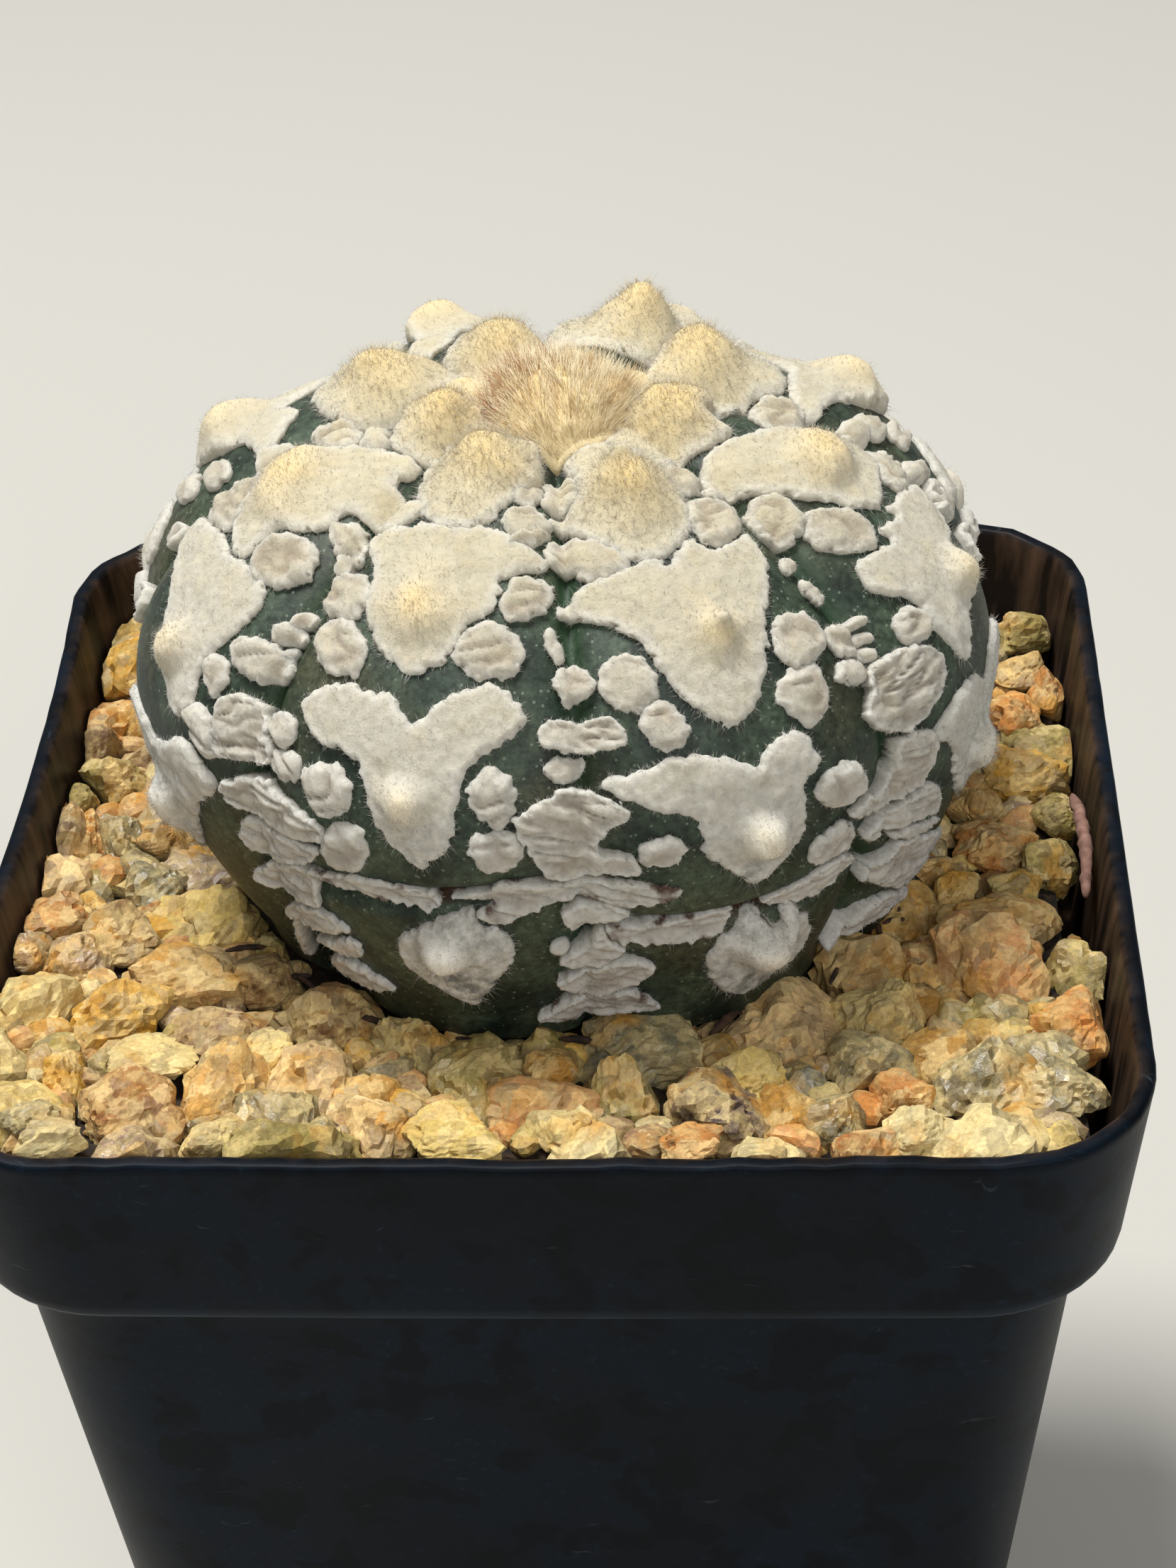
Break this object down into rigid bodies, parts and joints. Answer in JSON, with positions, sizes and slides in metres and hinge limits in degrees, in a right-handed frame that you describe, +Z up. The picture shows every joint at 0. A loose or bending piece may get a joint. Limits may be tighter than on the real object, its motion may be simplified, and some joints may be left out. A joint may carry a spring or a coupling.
{
  "type": "potted star cactus",
  "caption": "Flattened ribbed globe cactus with raised white felt patches and woolly areoles, set in gravel in a tapered square pot with a deep lip.",
  "frame": {"origin": "centre of the plane that the pot's feet stand on", "axes": "+Z up through the middle of the square pot, -Y towards the pot side that faces the viewer, +X to the viewer's right"},
  "size_m": [0.07, 0.07, 0.1068],
  "materials": {
    "pot_plastic": "satin black polypropylene with a dusty film and dried water marks",
    "soil": "dark fine soil mix",
    "granite_gravel": "decomposed granite grit with cream and ochre crusts and clear grey quartz",
    "cactus_skin": "dull dark green waxy skin",
    "plant_wool": "cream to tan plant wool, felted in flecks on the skin and tufted at the crown",
    "dry_fibre": "withered root fibre"
  },
  "bodies": {
    "root": {"pot": "pot_plastic", "soil": "soil", "gravel": "granite_gravel", "cactus_body": "cactus_skin", "crown_wool": "plant_wool", "root_fibre": "dry_fibre"}
  },
  "joints": []
}
